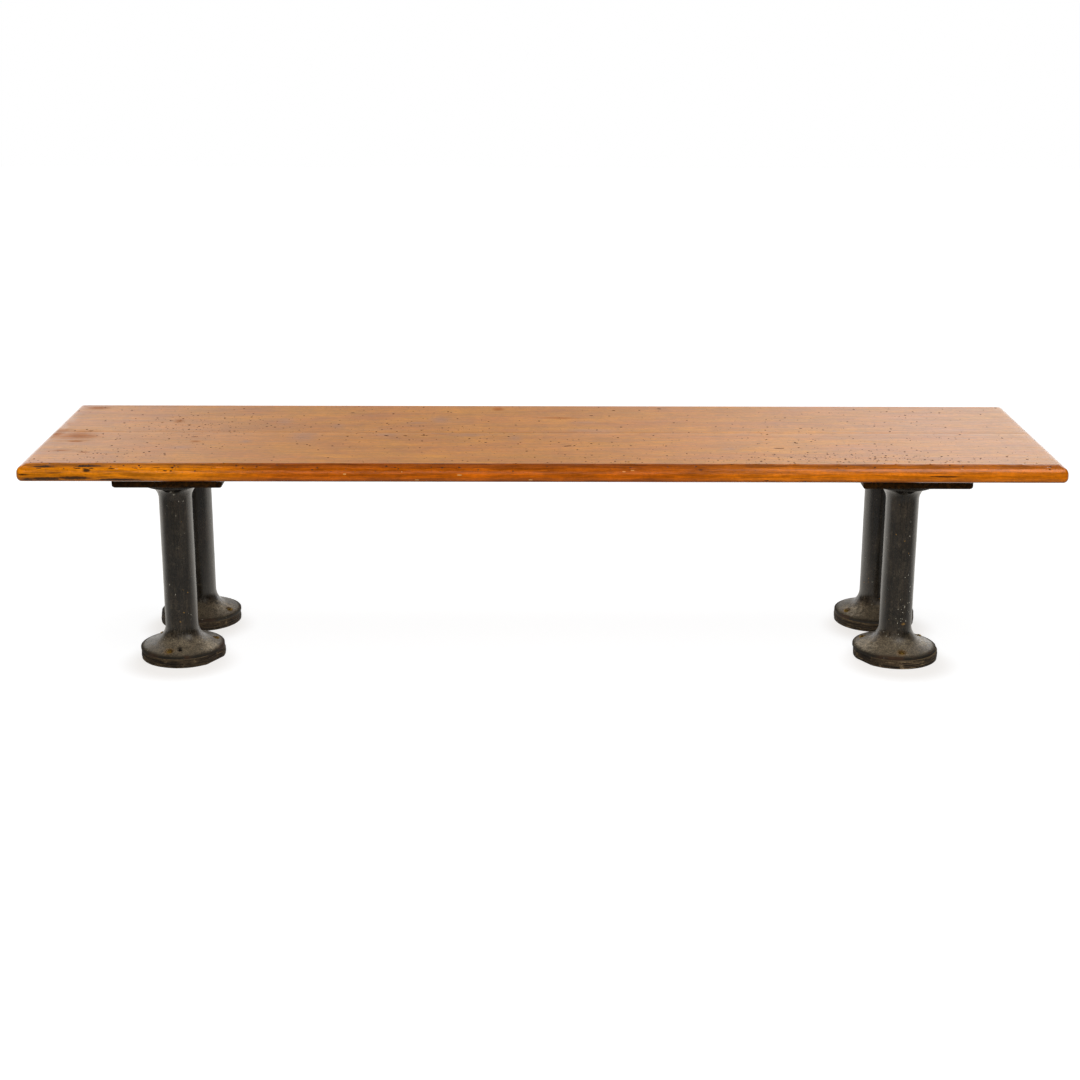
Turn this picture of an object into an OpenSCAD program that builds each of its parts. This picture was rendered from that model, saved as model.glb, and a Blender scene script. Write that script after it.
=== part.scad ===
// Low bench: a bullnosed seat of two timber boards on four cast-iron pedestal legs.
// X runs along the seat, Y from front to back and Z up. The origin is on the floor
// under the middle of the seat, and every size is in millimetres.

/* [Seat] */
// Length of the seat
seat_len = 1829; // [1300:1:2400]
// Depth of the seat from front to back
seat_depth = 500; // [440:1:700]
// Thickness of the seat boards
seat_t = 30; // [27:0.5:60]
// Height of the seat's top face above the floor
seat_height = 400; // [320:1:520]
// Radius along the seat's upper edges
top_round = 15.5; // [4:0.5:16]
// Radius along the seat's lower edges
under_round = 10; // [2:0.5:11]
// Radius of the seat's four corners, seen from above
corner_round = 8; // [4:0.5:24]

/* [Cleats] */
// Width of a cleat along the seat
cleat_w = 196; // [190:1:240]
// Length of a cleat from front to back
cleat_len = 350; // [335:1:400]
// Thickness of a cleat
cleat_t = 31; // [26:0.5:48]
// Distance from the end of the seat to a cleat
cleat_inset = 148.5; // [40:0.5:300]
// Radius along a cleat's lower edges
cleat_round = 7; // [1:0.5:10]

/* [Legs] */
// Distance between the centres of a front leg and the back leg behind it
leg_spacing = 203.5; // [190:0.5:215]
// How far each leg stands in from the middle of its cleat
leg_in = [0, 12, 1, 14.5]; // [0:0.5:17]
// Outer diameter of the hollow column
column_d = 59.5; // [50:0.5:64]
// Wall of the hollow column
column_wall = 6; // [4:0.5:9]
// Diameter of a leg's base flange
base_d = 153.5; // [148:0.5:164]
// Thickness of the base flange at its rim
base_t = 6; // [4:0.5:10]
// Slope of the base flange's upper face, in degrees
base_slope = 18; // [17:0.5:24]
// Radius of the flare between the base flange and the column
base_flare = 34; // [20:0.5:35]
// Diameter of a leg's top flange
top_d = 114; // [113:0.5:118]
// Thickness of the top flange at its rim
top_t = 8; // [6:0.5:14]
// Slope of the top flange's lower face, in degrees
top_slope = 4; // [1:0.5:6]
// Radius of the flare between the top flange and the column
top_flare = 27; // [24:0.5:27]
// Chamfer around the flanges' rims
rim_chamfer = 1; // [0.5:0.25:2]

/* [Foot pads] */
// Diameter of the laminated pad under a leg
pad_d = 155; // [154:0.5:170]
// Thickness of a pad
pad_t = 16.5; // [14:0.5:24]
// How far each pad lies off its leg's centre along the seat
pad_off = [1, 2.5, -1, 0]; // [-3:0.5:3]

/* [Foot screws] */
// Diameter of the circle that a base flange's screws stand on
foot_circle = 124; // [122:1:130]
// Direction of the first screw of each leg, in degrees
foot_turn = [-104, -87, -20, -158]; // [-180:1:180]
// Number of screws in a base flange
foot_screws = 3; // [2:1:6]
// Shank diameter of a foot screw
foot_screw_d = 5; // [4:0.5:6]
// Head diameter of a foot screw
foot_head_d = 10.5; // [9:0.5:12]
// Depth that a foot screw goes into its pad
foot_bite = 11; // [6:0.5:12]
// Angle from the front left leg's first screw to its spare hole
spare_turn = 19; // [17:1:40]
// Diameter of the circle that the spare hole lies on
spare_circle = 116; // [112:1:124]

/* [Top screws] */
// Diameter of the circle that a top flange's screws stand on
top_circle = 86; // [84:1:92]
// Angle between the two screws at each side of a top flange
top_pair = 28; // [24:1:50]
// Direction of the front pair of each leg, in degrees
top_turn = [-87, -95, -90, -90]; // [-100:1:-80]
// Shank diameter of a top screw
top_screw_d = 5; // [4:0.5:6]
// Head diameter of a top screw
top_head_d = 9.5; // [8:0.5:10.5]
// Diameter of the pocket round a top screw's head
top_pocket_d = 14; // [11.5:0.5:15]
// Depth that a top screw goes into its cleat
top_bite = 22; // [12:0.5:24]

/* [Cleat screws] */
// Distance from a cleat's sides to its rows of screws
cleat_row_edge = 15; // [12:0.5:16]
// Distance of the outer cleat screws from the seat's middle line
cleat_row_outer = 150; // [140:1:158]
// Distance of the inner cleat screws from the seat's middle line
cleat_row_inner = 50; // [30:1:70]
// Shank diameter of a cleat screw
cleat_screw_d = 4.5; // [3.5:0.5:5.5]
// Diameter of a cleat screw's countersunk head
cleat_head_d = 9; // [8:0.5:10]
// Depth that a cleat screw goes into the seat
cleat_bite = 18; // [10:0.5:22]

/* [Hidden] */
$fn = 64;
// Gap left all round a screw in its hole
hole_gap = 0.25;
// Gap beyond the tip of a screw in its blind hole
tip_gap = 1;
// Amount that a cutting shape runs past the face it cuts
cut = 1;

// Heights of the faces that the pieces meet at
seat_z = seat_height - seat_t;
cleat_z = seat_z - cleat_t;
leg_h = cleat_z - pad_t;
// Middle of a cleat, from the seat's middle
cleat_x = seat_len / 2 - cleat_inset - cleat_w / 2;
// Leg centres: 0 front left, 1 front right, 2 back left, 3 back right
leg_x = [leg_in[0] - cleat_x, cleat_x - leg_in[1], leg_in[2] - cleat_x, cleat_x - leg_in[3]];
leg_y = [-leg_spacing / 2, -leg_spacing / 2, leg_spacing / 2, leg_spacing / 2];
column_r = column_d / 2;
base_r = base_d / 2;
top_r = top_d / 2;

// Proportions of a round head: rim height, dome height and cross recess
head_rim = 0.2;
head_rise = 0.34;
recess_w = 0.14;
recess_len = 0.56;
recess_depth = 0.2;
// Length of a screw's point as a share of its diameter
point = 1.2;
// Width of the flat seat cut round a foot screw's head, past the head
seat_cut = 3;
// Height of that flat seat above the rim of the base flange
foot_seat = 3;
foot_seat_z = base_t + foot_seat;
// Length of the foot and top screws from under the head to the tip
foot_screw_len = foot_seat_z + foot_bite;
top_screw_len = top_t + top_bite;
// Depth of a cleat screw's countersink
sink_h = (cleat_head_d - cleat_screw_d) / 2;
cleat_screw_len = cleat_t + cleat_bite;
// Diameter of the spare hole
spare_d = foot_screw_d + 1.5;

timber = "peru";
stained = "saddlebrown";
iron = "dimgray";
laminate = "#4a3626";
plated = "goldenrod";
steel = "silver";

// Upper half of a disc
module half_disc(r)
    intersection() {
        circle(r);
        translate([-r, 0]) square([2 * r, r]);
    }

// Upright section of a slab, centred on the Y axis, with round long edges
module slab_section(w, t, upper, lower) {
    translate([-w / 2, lower]) square([w, t - upper - lower]);
    translate([-w / 2 + lower, 0]) square([w - 2 * lower, t - upper]);
    translate([-w / 2 + upper, lower]) square([w - 2 * upper, t - lower]);
    for (side = [-1, 1]) {
        translate([side * (w / 2 - lower), lower]) mirror([0, 1]) half_disc(lower);
        translate([side * (w / 2 - upper), t - upper]) half_disc(upper);
    }
}

// Rectangle about the origin with round corners
module round_plan(len, depth, corner) {
    square([len - 2 * corner, depth], center = true);
    square([len, depth - 2 * corner], center = true);
    for (x = [-1, 1], y = [-1, 1])
        translate([x * (len / 2 - corner), y * (depth / 2 - corner)]) circle(corner);
}

// Slab on Z = 0 with round corners and the same round edge on all four sides
module slab(len, depth, t, upper, lower, corner) {
    intersection() {
        translate([0, depth / 2, 0]) rotate([90, 0, 0])
            linear_extrude(depth) slab_section(len, t, upper, lower);
        translate([-len / 2, 0, 0]) rotate([90, 0, 90])
            linear_extrude(len) slab_section(depth, t, upper, lower);
        translate([0, 0, -cut]) linear_extrude(t + 2 * cut) round_plan(len, depth, corner);
    }
}

// Screw with its tip up, its head under Z = 0 and its shank reaching len above it
module shank(d, len) {
    cylinder(d = d, h = len - point * d);
    translate([0, 0, len - point * d]) cylinder(d1 = d, d2 = d / 4, h = point * d);
}

// Round head, flat side at Z = 0 and dome below it, with a cross recess
module round_head(d) {
    rim = head_rim * d;
    rise = head_rise * d;
    dome_r = (d * d / 4 + (rise - rim) * (rise - rim)) / (2 * (rise - rim));
    difference() {
        intersection() {
            translate([0, 0, -rise]) cylinder(d = d, h = rise);
            translate([0, 0, dome_r - rise]) sphere(dome_r);
        }
        for (turn = [0, 90]) rotate(turn)
            translate([-recess_len * d / 2, -recess_w * d / 2, -rise - cut])
                cube([recess_len * d, recess_w * d, cut + recess_depth * d]);
    }
}

module round_screw(d, head_d, len) {
    shank(d, len);
    round_head(head_d);
}

// Flat head that tapers upwards, its face at Z = 0
module sunk_screw(d, head_d, len) {
    sink = (head_d - d) / 2;
    difference() {
        union() {
            shank(d, len);
            cylinder(d1 = head_d, d2 = d, h = sink);
        }
        for (turn = [0, 90]) rotate(turn)
            translate([-recess_len * head_d / 2, -recess_w * head_d / 2, -cut])
                cube([recess_len * head_d, recess_w * head_d, cut + recess_depth * head_d]);
    }
}

// Hole for a screw's shank, from below Z = 0 to just past its tip
module screw_hole(d, len) {
    translate([0, 0, -cut]) cylinder(d = d + 2 * hole_gap, h = len + tip_gap + cut);
}

// Places of the screws round the foot and the top of one leg
module at_foot_screws(leg)
    for (i = [0 : foot_screws - 1])
        rotate(foot_turn[leg] + i * 360 / foot_screws) translate([foot_circle / 2, 0, 0]) children();

module at_top_screws(leg)
    for (side = [0, 180], swing = [-0.5, 0.5])
        rotate(top_turn[leg] + side + swing * top_pair) translate([top_circle / 2, 0, 0]) children();

// Places of the screws in one cleat
module at_cleat_screws(side)
    for (row = [-1, 1], y = [-cleat_row_outer, -cleat_row_inner, cleat_row_inner, cleat_row_outer])
        translate([side * cleat_x + row * (cleat_w / 2 - cleat_row_edge), y, 0]) children();

// Half of the seat: the front board when side is -1, the back board when it is 1
module seat_board(side) {
    color(timber) difference() {
        intersection() {
            translate([0, 0, seat_z])
                slab(seat_len, seat_depth, seat_t, top_round, under_round, corner_round);
            translate([-seat_len / 2 - cut, side < 0 ? -seat_depth / 2 - cut : 0, seat_z - cut])
                cube([seat_len + 2 * cut, seat_depth / 2 + cut, seat_t + 2 * cut]);
        }
        for (end = [-1, 1]) translate([0, 0, cleat_z])
            at_cleat_screws(end) screw_hole(cleat_screw_d, cleat_screw_len);
    }
}

// Cross board that joins the seat boards and carries two legs
module cleat(side) {
    legs = side < 0 ? [0, 2] : [1, 3];
    color(stained) difference() {
        translate([side * cleat_x, 0, cleat_z])
            slab_half_round(cleat_w, cleat_len, cleat_t, cleat_round);
        translate([0, 0, cleat_z]) at_cleat_screws(side) {
            screw_hole(cleat_screw_d, cleat_screw_len);
            translate([0, 0, -cut])
                cylinder(d1 = cleat_head_d + 2 * (hole_gap + cut),
                    d2 = cleat_screw_d + 2 * hole_gap, h = sink_h + cut);
        }
        for (leg = legs) translate([leg_x[leg], leg_y[leg], cleat_z - top_t])
            at_top_screws(leg) screw_hole(top_screw_d, top_screw_len);
    }
}

// Slab with square upper edges and round lower edges
module slab_half_round(len, depth, t, lower) {
    intersection() {
        translate([0, depth / 2, 0]) rotate([90, 0, 0])
            linear_extrude(depth) tray_section(len, t, lower);
        translate([-len / 2, 0, 0]) rotate([90, 0, 90])
            linear_extrude(len) tray_section(depth, t, lower);
    }
}

module tray_section(w, t, lower) {
    translate([-w / 2, lower]) square([w, t - lower]);
    translate([-w / 2 + lower, 0]) square([w - 2 * lower, t]);
    for (side = [-1, 1]) translate([side * (w / 2 - lower), lower]) circle(lower);
}

// Half section of a flange that slopes up to a concave flare against the column
module flange_section(r, rim_t, slope, flare) {
    // Point where the slope meets the flare, and the flare's centre
    meet = [column_r + flare * (1 - sin(slope)),
        rim_t + (r - column_r - flare * (1 - sin(slope))) * tan(slope)];
    centre = [column_r + flare, meet.y + flare * cos(slope)];
    difference() {
        polygon([[0, 0], [r - rim_chamfer, 0], [r, rim_chamfer], [r, rim_t - rim_chamfer],
            [r - rim_chamfer, rim_t + rim_chamfer * tan(slope)],
            meet, [column_r, centre.y], [0, centre.y]]);
        translate(centre) circle(flare, $fn = 96);
    }
}

// Hollow casting: column with a flange at each end, its base at Z = 0
module leg_casting() {
    rotate_extrude($fn = 96) difference() {
        union() {
            square([column_r, leg_h]);
            flange_section(base_r, base_t, base_slope, base_flare);
            translate([0, leg_h]) mirror([0, 1]) flange_section(top_r, top_t, top_slope, top_flare);
        }
        translate([-cut, -cut]) square([column_r - column_wall + cut, leg_h + 2 * cut]);
    }
}

module leg(i) {
    color(iron) translate([leg_x[i], leg_y[i], pad_t]) difference() {
        leg_casting();
        at_foot_screws(i) {
            translate([0, 0, -cut]) cylinder(d = foot_screw_d + 2 * hole_gap, h = foot_seat_z + 2 * cut);
            translate([0, 0, foot_seat_z]) cylinder(d = foot_head_d + seat_cut, h = base_flare);
        }
        if (i == 0) rotate(foot_turn[i] + spare_turn) translate([spare_circle / 2, 0, -cut])
            cylinder(d = spare_d, h = base_t + base_flare);
        translate([0, 0, leg_h - top_t]) at_top_screws(i) {
            screw_hole(top_screw_d, top_screw_len);
            translate([0, 0, -top_flare]) cylinder(d = top_pocket_d, h = top_flare);
        }
    }
}

// Round laminated pad that keeps the iron off the floor
module foot_pad(i) {
    color(laminate) difference() {
        translate([leg_x[i] + pad_off[i], leg_y[i], 0]) cylinder(d = pad_d, h = pad_t, $fn = 96);
        translate([leg_x[i], leg_y[i], pad_t]) at_foot_screws(i)
            mirror([0, 0, 1]) screw_hole(foot_screw_d, foot_bite);
    }
}

module foot_screw_set(i) {
    color(plated) translate([leg_x[i], leg_y[i], pad_t + foot_seat_z]) at_foot_screws(i)
        mirror([0, 0, 1]) round_screw(foot_screw_d, foot_head_d, foot_screw_len);
}

module top_screw_set(i) {
    color(plated) translate([leg_x[i], leg_y[i], cleat_z - top_t]) at_top_screws(i)
        round_screw(top_screw_d, top_head_d, top_screw_len);
}

module cleat_screw_set(side) {
    color(steel) translate([0, 0, cleat_z]) at_cleat_screws(side)
        sunk_screw(cleat_screw_d, cleat_head_d, cleat_screw_len);
}

seat_board(-1);  // seat_board_front
seat_board(1);  // seat_board_back
cleat(-1);  // cleat_left
cleat(1);  // cleat_right
leg(0);  // leg_front_left
leg(1);  // leg_front_right
leg(2);  // leg_back_left
leg(3);  // leg_back_right
foot_pad(0);  // foot_pad_front_left
foot_pad(1);  // foot_pad_front_right
foot_pad(2);  // foot_pad_back_left
foot_pad(3);  // foot_pad_back_right
foot_screw_set(0);  // foot_screws_front_left
foot_screw_set(1);  // foot_screws_front_right
foot_screw_set(2);  // foot_screws_back_left
foot_screw_set(3);  // foot_screws_back_right
top_screw_set(0);  // top_screws_front_left
top_screw_set(1);  // top_screws_front_right
top_screw_set(2);  // top_screws_back_left
top_screw_set(3);  // top_screws_back_right
cleat_screw_set(-1);  // cleat_screws_left
cleat_screw_set(1);  // cleat_screws_right
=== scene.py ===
import math

import bmesh
import bpy
from mathutils import Matrix, Vector, noise


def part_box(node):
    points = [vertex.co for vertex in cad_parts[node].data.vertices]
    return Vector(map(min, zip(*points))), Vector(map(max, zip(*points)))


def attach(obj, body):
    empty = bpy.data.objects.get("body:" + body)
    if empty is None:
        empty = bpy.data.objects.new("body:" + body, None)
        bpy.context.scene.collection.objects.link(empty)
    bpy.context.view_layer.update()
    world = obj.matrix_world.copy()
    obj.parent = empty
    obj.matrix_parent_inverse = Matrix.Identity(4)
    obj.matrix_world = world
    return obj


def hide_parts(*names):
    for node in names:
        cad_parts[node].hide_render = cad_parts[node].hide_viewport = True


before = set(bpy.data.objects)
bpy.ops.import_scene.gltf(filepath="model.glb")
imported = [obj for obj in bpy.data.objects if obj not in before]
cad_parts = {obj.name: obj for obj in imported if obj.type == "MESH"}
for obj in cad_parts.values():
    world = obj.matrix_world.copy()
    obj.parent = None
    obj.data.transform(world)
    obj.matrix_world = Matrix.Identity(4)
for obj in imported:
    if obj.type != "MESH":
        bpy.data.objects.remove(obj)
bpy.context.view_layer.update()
MM = 0.001

# Camera
# The photograph was taken from in front of the bench, a little left of its middle,
# by a camera on a stand that looked down at the seat.
camera_place = Vector((-0.0212, -3.4483, 1.2237))
camera_pitch = math.radians(16.647)
camera_yaw = math.radians(-0.288)
camera_roll = math.radians(0.177)
camera_sensor = 36.0
camera_lens = 63.535


def add_object(name, data):
    """A new object in the scene, made from its data."""
    made = bpy.data.objects.new(name, data)
    bpy.context.scene.collection.objects.link(made)
    return made


camera_data = bpy.data.cameras.new("camera")
camera_data.sensor_width = camera_sensor
camera_data.lens = camera_lens
camera = add_object("camera", camera_data)
camera_turn = Matrix.Rotation(camera_yaw, 3, "Z")
camera_turn = camera_turn @ Matrix.Rotation(math.pi / 2 - camera_pitch, 3, "X")
camera_turn = camera_turn @ Matrix.Rotation(camera_roll, 3, "Z")
camera.rotation_euler = camera_turn.to_euler()
camera.location = camera_place
bpy.context.scene.camera = camera
bpy.context.scene.view_settings.view_transform = "Standard"


# Studio
# White paper runs under and behind the bench. A soft light in front on the right shows
# in the varnish, and two that aren't mirrored fill from the front and from overhead.
def put(tree, kind, inputs=None, **settings):
    """Adds a node. Each input is a value, or a socket to link from."""
    made = tree.nodes.new(kind)
    for key, value in settings.items():
        setattr(made, key, value)
    for key, value in (inputs or {}).items():
        if isinstance(value, bpy.types.NodeSocket):
            tree.links.new(value, made.inputs[key])
        else:
            made.inputs[key].default_value = value
    return made


def calc(tree, operation, *values):
    """The result of a Math node on values or sockets."""
    return put(tree, "ShaderNodeMath", dict(enumerate(values)), operation=operation).outputs[0]


def on_vector(tree, operation, *values):
    """The result of a Vector Math node, where SCALE takes a vector and a value."""
    keys = (0, "Scale") if operation == "SCALE" else (0, 1)
    made = put(tree, "ShaderNodeVectorMath", dict(zip(keys, values)), operation=operation)
    return made.outputs["Value" if operation in ("LENGTH", "DISTANCE") else "Vector"]


def parts(tree, vector):
    """The X, Y and Z sockets of a vector."""
    return put(tree, "ShaderNodeSeparateXYZ", {0: vector}).outputs


def ramp(tree, value, low, high, start=0.0, end=1.0):
    """A smooth step of value from start at low to end at high."""
    inputs = {"Value": value, 1: low, 2: high, 3: start, 4: end}
    return put(tree, "ShaderNodeMapRange", inputs, interpolation_type="SMOOTHSTEP").outputs[0]


def new_material(name):
    """A new material, its empty node tree and its Object coordinates."""
    material = bpy.data.materials.new(name)
    material.use_nodes = True
    tree = material.node_tree
    tree.nodes.clear()
    return material, tree, put(tree, "ShaderNodeTexCoord").outputs["Object"]


floor_half = 9.0
floor_corners = [(-floor_half, -floor_half, 0), (floor_half, -floor_half, 0),
                 (floor_half, floor_half, 0), (-floor_half, floor_half, 0)]
floor_mesh = bpy.data.meshes.new("floor")
floor_mesh.from_pydata(floor_corners, [], [(0, 1, 2, 3)])
add_object("floor", floor_mesh)

paper_glow = 0.90
paper_far_glow = 1.0
paper_far_from = (1.0, 2.4)
paper_shade = 0.26
paper_bounce = 0.14
# A soft warm shadow on the paper at the front of each foot: how deep in red, green and
# blue, how far in front of the foot its middle lies, and where it starts and ends
foot_shadow = (0.15, 0.17, 0.19)
foot_shadow_shift = 0.042
foot_shadow_rim = (0.062, 0.122)
# The paper mirrored in the bench: bright behind the line of its front legs, dark before
# it, and not mirrored at all far in front
paper_mirrored = 1.1
paper_dark = 0.03
mirrored_from = (-0.35, 0.28)
mirrored_tint = (1.0, 0.95, 0.87)
unmirrored_from = (-1.30, -1.00)

legs = ("front_left", "front_right", "back_left", "back_right")
paper, tree, place = new_material("paper")
path = put(tree, "ShaderNodeLightPath").outputs
ahead = parts(tree, place)["Y"]
mirrored = ramp(tree, ahead, *mirrored_from, paper_dark, paper_mirrored)
mirrored = on_vector(tree, "SCALE", mirrored_tint, mirrored)
seen_glow = ramp(tree, on_vector(tree, "LENGTH", place), *paper_far_from, paper_glow, paper_far_glow)
shadow = 0.0
for leg in legs:
    pad_low, pad_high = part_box("foot_pad_" + leg)
    middle = ((pad_low.x + pad_high.x) / 2, (pad_low.y + pad_high.y) / 2 - foot_shadow_shift, 0)
    away = on_vector(tree, "DISTANCE", place, middle)
    shadow = calc(tree, "ADD", shadow, ramp(tree, away, *foot_shadow_rim, 1.0, 0.0))
seen_glow = on_vector(tree, "SUBTRACT", seen_glow, on_vector(tree, "SCALE", foot_shadow, shadow))
glow_tone = put(tree, "ShaderNodeMix", {
    0: path["Is Camera Ray"], 6: mirrored, 7: seen_glow}, data_type="RGBA")
glow = put(tree, "ShaderNodeEmission", {"Color": glow_tone.outputs[2], "Strength": 1.0})
unmirrored = ramp(tree, ahead, *unmirrored_from, 1.0, 0.0)
unmirrored = calc(tree, "MULTIPLY", unmirrored, path["Is Glossy Ray"])
shade_tone = calc(tree, "MULTIPLY_ADD", unmirrored, -paper_shade, paper_shade)
shade = put(tree, "ShaderNodeBsdfDiffuse", {"Color": shade_tone})
shown = put(tree, "ShaderNodeAddShader", {0: glow.outputs[0], 1: shade.outputs[0]})
seen = calc(tree, "MAXIMUM", path["Is Camera Ray"], path["Is Glossy Ray"])
seen = calc(tree, "MAXIMUM", seen, path["Is Transmission Ray"])
plain = put(tree, "ShaderNodeBsdfDiffuse", {"Color": (paper_bounce, paper_bounce, paper_bounce, 1)})
mixed = put(tree, "ShaderNodeMixShader", {0: seen, 1: plain.outputs[0], 2: shown.outputs[0]})
put(tree, "ShaderNodeOutputMaterial", {"Surface": mixed.outputs[0]})
floor_mesh.materials.append(paper)

# The backdrop mirrored in the bench: dimmest behind its middle, brighter towards both
# sides, and fading out above, far to the sides and towards the camera
room_light = 0.10
backdrop_middle = 0.56
backdrop_right = 1.72
backdrop_left = 1.32
backdrop_ends = 0.25
ceiling_glow = 0.04
camera_side = 0.04
right_from = (-0.02, 0.30)
left_from = (-0.10, -0.30)
ceiling_from = (0.42, 0.60)
camera_side_to = (0.35, 0.82)
ends_from = (0.45, 0.80)
world = bpy.data.worlds.new("studio")
bpy.context.scene.world = world
world.use_nodes = True
tree = world.node_tree
tree.nodes.clear()
path = put(tree, "ShaderNodeLightPath").outputs
sideways, ahead, upwards = parts(tree, put(tree, "ShaderNodeTexCoord").outputs["Generated"])
right_glow = ramp(tree, sideways, *right_from, 0.0, backdrop_right)
left_glow = ramp(tree, sideways, *left_from, 0.0, backdrop_left)
backdrop = calc(tree, "ADD", calc(tree, "ADD", right_glow, left_glow), backdrop_middle)
for fade in (ramp(tree, upwards, *ceiling_from, 1.0, ceiling_glow),
             ramp(tree, ahead, *camera_side_to, camera_side, 1.0),
             ramp(tree, calc(tree, "ABSOLUTE", sideways), *ends_from, 1.0, backdrop_ends)):
    backdrop = calc(tree, "MULTIPLY", backdrop, fade)
strength = put(tree, "ShaderNodeMix", {0: path["Is Glossy Ray"], 2: room_light, 3: backdrop})
strength = put(tree, "ShaderNodeMix", {0: path["Is Camera Ray"], 2: strength.outputs[0], 3: 1.0})
background = put(tree, "ShaderNodeBackground", {"Color": (1, 1, 1, 1), "Strength": strength.outputs[0]})
put(tree, "ShaderNodeOutputWorld", {"Surface": background.outputs[0]})


def soft_light(name, place, aim, size, power, mirrored=False):
    """A soft box at place that points at aim, and is seen in reflections if mirrored."""
    data = bpy.data.lights.new(name, "AREA")
    data.shape = "RECTANGLE"
    data.size, data.size_y = size
    data.energy = power
    lamp = add_object(name, data)
    lamp.location = place
    lamp.rotation_euler = (Vector(aim) - Vector(place)).to_track_quat("-Z", "Y").to_euler()
    lamp.visible_glossy = mirrored


soft_light("key_light", (1.5, -1.75, 2.6), (0.2, 0, 0.3), (1.5, 1.4), 17, mirrored=True)
soft_light("front_light", (-0.2, -3.6, 1.7), (0, 0, 0.3), (3.0, 2.0), 104)
soft_light("overhead_light", (-0.5, 0.3, 3.0), (-0.2, 0, 0.3), (2.6, 1.2), 60)


# Seat boards
# Two pine boards glued edge to edge, planed flat and rounded over all round, then
# varnished. The varnish has worn off the top, and years of use have pitted it.
seat_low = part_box("seat_board_front")[0]
seat_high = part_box("seat_board_back")[1]
seat_size = seat_high - seat_low
top_round = 15.5 * MM
under_round = 10 * MM
corner_round = 8 * MM
least_corner = 0.8 * MM
round_steps = 8
seat_cell = 15 * MM
glue_width = 0.4 * MM
glue_depth = 0.06 * MM
# The top is planed away to a slight slope along its front and back edges. A narrow strip
# of faces just inside it keeps the line where the slope starts clear
sloped_reach = 22 * MM
sloped_fall = 0.26
slope_rim = 1 * MM
# Edges are worn by this much in waves, coarse ones and finer ones at so many to a metre
edge_wear = 0.5 * MM
wear_waves = 9
fine_waves = 37


def slab_mesh(low, size, upper, lower, corner):
    """A slab with round corners and round edges, as one closed bmesh."""
    profile = []
    for step in range(round_steps + 1):
        turn = math.pi / 2 * step / round_steps
        profile.append((upper * (1 - math.sin(turn)), size.z - upper * (1 - math.cos(turn))))
    for step in range(round_steps + 1):
        turn = math.pi / 2 * step / round_steps
        profile.append((lower * (1 - math.cos(turn)), lower * (1 - math.sin(turn))))
    middle = Vector((low.x + size.x / 2, low.y + size.y / 2, low.z))
    made = bmesh.new()
    rings = []
    for inset, level in profile:
        ring = []
        reach = max(corner - inset, least_corner)
        back = inset + reach
        for quarter, (side_x, side_y) in enumerate(((1, 1), (-1, 1), (-1, -1), (1, -1))):
            centre = middle + Vector((side_x * (size.x / 2 - back), side_y * (size.y / 2 - back), level))
            for step in range(round_steps + 1):
                turn = math.pi / 2 * (quarter + step / round_steps)
                ring.append(made.verts.new(centre + Vector((math.cos(turn), math.sin(turn), 0)) * reach))
        rings.append(ring)
    count = len(rings[0])
    for above, below in zip(rings, rings[1:]):
        for i in range(count):
            j = (i + 1) % count
            made.faces.new((above[i], below[i], below[j], above[j]))
    made.faces.new(rings[0])
    made.faces.new(reversed(rings[-1]))
    return made


def plain_mesh(name, made):
    """A mesh from a bmesh, which is then freed."""
    mesh = bpy.data.meshes.new(name)
    made.to_mesh(mesh)
    made.free()
    return mesh


def cut_across(made, axis, places):
    """Cuts the faces of a bmesh along planes square to an axis."""
    for place in places:
        point, normal = Vector((0, 0, 0)), Vector((0, 0, 0))
        point[axis] = place
        normal[axis] = 1
        geometry = made.verts[:] + made.edges[:] + made.faces[:]
        bmesh.ops.bisect_plane(made, geom=geometry, plane_co=point, plane_no=normal)


def steps_between(low, high, step):
    """Evenly spaced places between low and high, without the two ends."""
    count = max(1, round((high - low) / step))
    return [low + (high - low) * i / count for i in range(1, count)]


# Worn zones of the top: middle, half length and half width in mm, and how thick the pits
# lie there. They thin out from the middle of a zone at this rate.
pit_zones = [
    (-650, 60, 150, 110, 1.00), (-700, -120, 120, 70, 0.40), (-300, 60, 200, 120, 0.35),
    (0, -60, 300, 120, 0.25), (350, -205, 500, 28, 1.00), (700, -190, 160, 36, 0.60),
    (600, 0, 300, 180, 0.25), (-550, -247, 330, 12, 1.60), (480, -175, 130, 30, 1.30),
    (610, -190, 120, 30, 1.00), (-760, -170, 80, 30, 0.80), (-800, -215, 100, 24, 1.20),
]
pit_everywhere = 0.07
pit_thinning = 1.4


def pit_share(point):
    """How thickly the pits lie at a point of the top, from 0 to 1 or more."""
    share = pit_everywhere
    for x, y, half_length, half_width, weight in pit_zones:
        away = ((point.x / MM - x) / half_length) ** 2 + ((point.y / MM - y) / half_width) ** 2
        share += weight * math.exp(-away * pit_thinning)
    return share


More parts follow.
